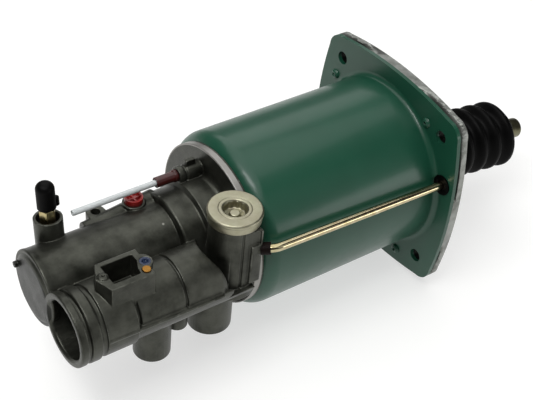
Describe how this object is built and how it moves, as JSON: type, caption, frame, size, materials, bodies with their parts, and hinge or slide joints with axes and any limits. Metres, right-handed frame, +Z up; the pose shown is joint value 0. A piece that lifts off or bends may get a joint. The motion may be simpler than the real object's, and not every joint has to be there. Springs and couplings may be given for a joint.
{
  "type": "clutch servo",
  "caption": "Air-assisted hydraulic clutch servo: a drawn air cylinder on a square flange, a one-piece valve casting behind it and a push rod inside a bellows boot.",
  "frame": {"origin": "centre of the bolt square on the mounting plate's rear face, on the cylinder's axis", "axes": "+X along the cylinder's axis towards the push rod, +Z up to the bleed screw, +Y to the side away from the valve chamber"},
  "size_m": [0.4348, 0.154, 0.154],
  "materials": {
    "green_enamel": "gloss green enamel",
    "bare_aluminium": "bare cast aluminium",
    "cast_aluminium": "dark, oily as-cast surface",
    "yellow_zinc": "pale yellow zinc plate",
    "dark_steel": "dark steel",
    "spring_steel": "plain steel",
    "rod_steel": "oiled steel",
    "black_rubber": "black rubber",
    "brown_seal": "dark brown sealing collar",
    "black_plastic": "black plastic",
    "clear_plastic": "milky plastic",
    "red_plastic": "red plastic",
    "blue_plastic": "dark blue plastic",
    "brass": "brass"
  },
  "bodies": {
    "housing": {"air_cylinder_can": "green_enamel", "mounting_plate": "bare_aluminium", "can_gasket": "black_rubber", "plate_screws": "dark_steel", "housing_screws": "dark_steel", "valve_housing": "cast_aluminium", "valve_plug": "yellow_zinc", "plug_seal_ring": "black_rubber", "bleed_screw": "yellow_zinc", "bleed_cap": "black_rubber", "air_pipe": "yellow_zinc", "pipe_nut": "brown_seal", "pipe_grommet": "black_rubber", "vent_tube": "clear_plastic", "vent_connector": "red_plastic", "port_plug": "red_plastic", "lug_screw": "blue_plastic", "lug_bush": "brass", "exhaust_baffle": "black_plastic", "baffle_ring": "dark_steel", "control_spring": "spring_steel", "valve_seat_sleeve": "brass", "inlet_spring": "spring_steel", "spring_retainer": "black_plastic", "guide_bush": "bare_aluminium", "bush_seal": "black_rubber", "preload_spring": "spring_steel"},
    "piston": {"air_piston": "bare_aluminium", "seat_ring": "spring_steel", "piston_seal": "black_rubber", "piston_guide_ring": "black_plastic", "hydraulic_plunger": "spring_steel", "plunger_seal": "black_rubber"},
    "push_rod": {"push_rod": "rod_steel"},
    "boot": {"dust_boot": "black_rubber"},
    "control": {"control_piston": "black_plastic", "control_piston_seal": "black_rubber"},
    "inlet": {"inlet_valve": "black_plastic"}
  },
  "joints": [
    {"name": "piston_slide", "type": "slide", "parent": "housing", "child": "piston", "axis": [1, 0, 0], "range_m": [-0.045, 0], "stiffness_N_per_m": 800, "deforming": ["preload_spring"]},
    {"name": "rod_swing", "type": "hinge", "parent": "piston", "child": "push_rod", "pos_m": [-0.0515, 0, 0], "axis": [0, -1, 0], "range_deg": [0, 16]},
    {"name": "boot_swing", "type": "hinge", "parent": "housing", "child": "boot", "pos_m": [0, 0, 0], "axis": [0, -1, 0], "range_deg": [0, 22.8], "deforming": ["dust_boot"]},
    {"name": "control_slide", "type": "slide", "parent": "housing", "child": "control", "axis": [1, 0, 0], "range_m": [0, 0.004], "stiffness_N_per_m": 2000, "deforming": ["control_spring"]},
    {"name": "inlet_slide", "type": "slide", "parent": "housing", "child": "inlet", "axis": [1, 0, 0], "range_m": [0, 0.002], "deforming": ["inlet_spring"]}
  ],
  "couplings": [
    {"joint": "boot_swing", "follows": "rod_swing", "ratio": 1.42},
    {"joint": "inlet_slide", "follows": "control_slide", "ratio": 0.5}
  ]
}
